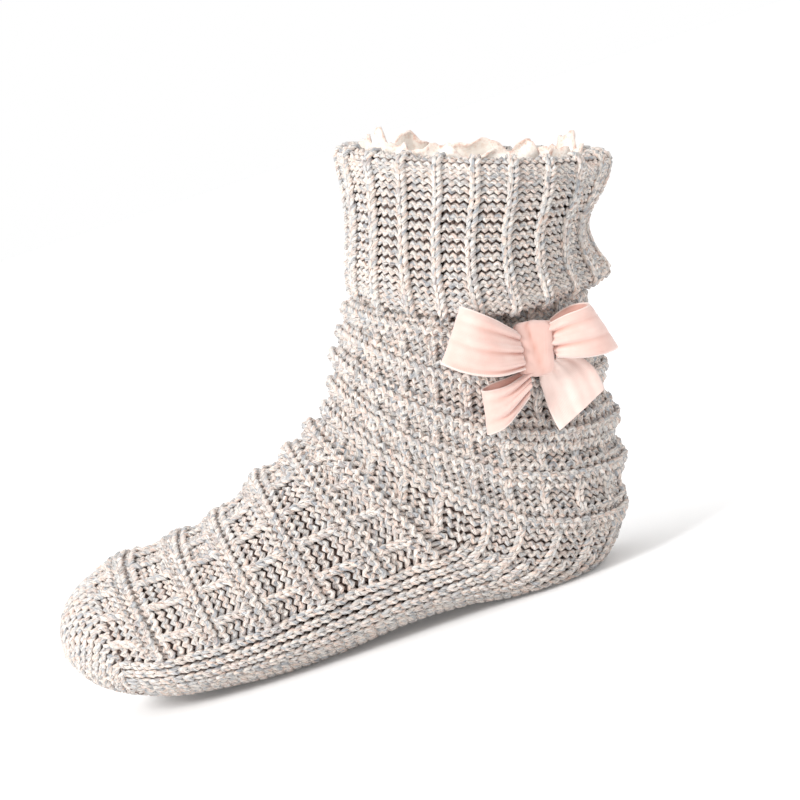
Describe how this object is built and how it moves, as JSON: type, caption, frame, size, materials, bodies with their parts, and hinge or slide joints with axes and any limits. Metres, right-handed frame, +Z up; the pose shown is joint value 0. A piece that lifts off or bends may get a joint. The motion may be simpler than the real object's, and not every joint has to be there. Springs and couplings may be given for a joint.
{
  "type": "slipper sock",
  "caption": "Left slipper sock in a chunky ribbed knit, with slouched leg, turned-down rib cuff, ragged fleece lining edge and a ribbon bow on the outer side.",
  "frame": {"origin": "bottom centre of the bounding box, on the floor under the sole", "axes": "+X from the toe to the heel, +Y towards the inner side of the foot, +Z up along the leg"},
  "size_m": [0.2826, 0.1175, 0.2041],
  "materials": {
    "marled_knit": "soft marled yarn in light grey, cream and pale pink, matt",
    "cream_fleece": "thin brushed cream fleece, matt",
    "pink_ribbon": "pale pink woven ribbon with a soft nap and a faint sheen"
  },
  "bodies": {
    "root": {"sock_body": "marled_knit", "cuff": "marled_knit", "lining_collar": "cream_fleece", "bow_knot": "pink_ribbon", "bow_loop_front": "pink_ribbon", "bow_loop_back": "pink_ribbon", "bow_tail_front": "pink_ribbon", "bow_tail_back": "pink_ribbon"}
  },
  "joints": []
}
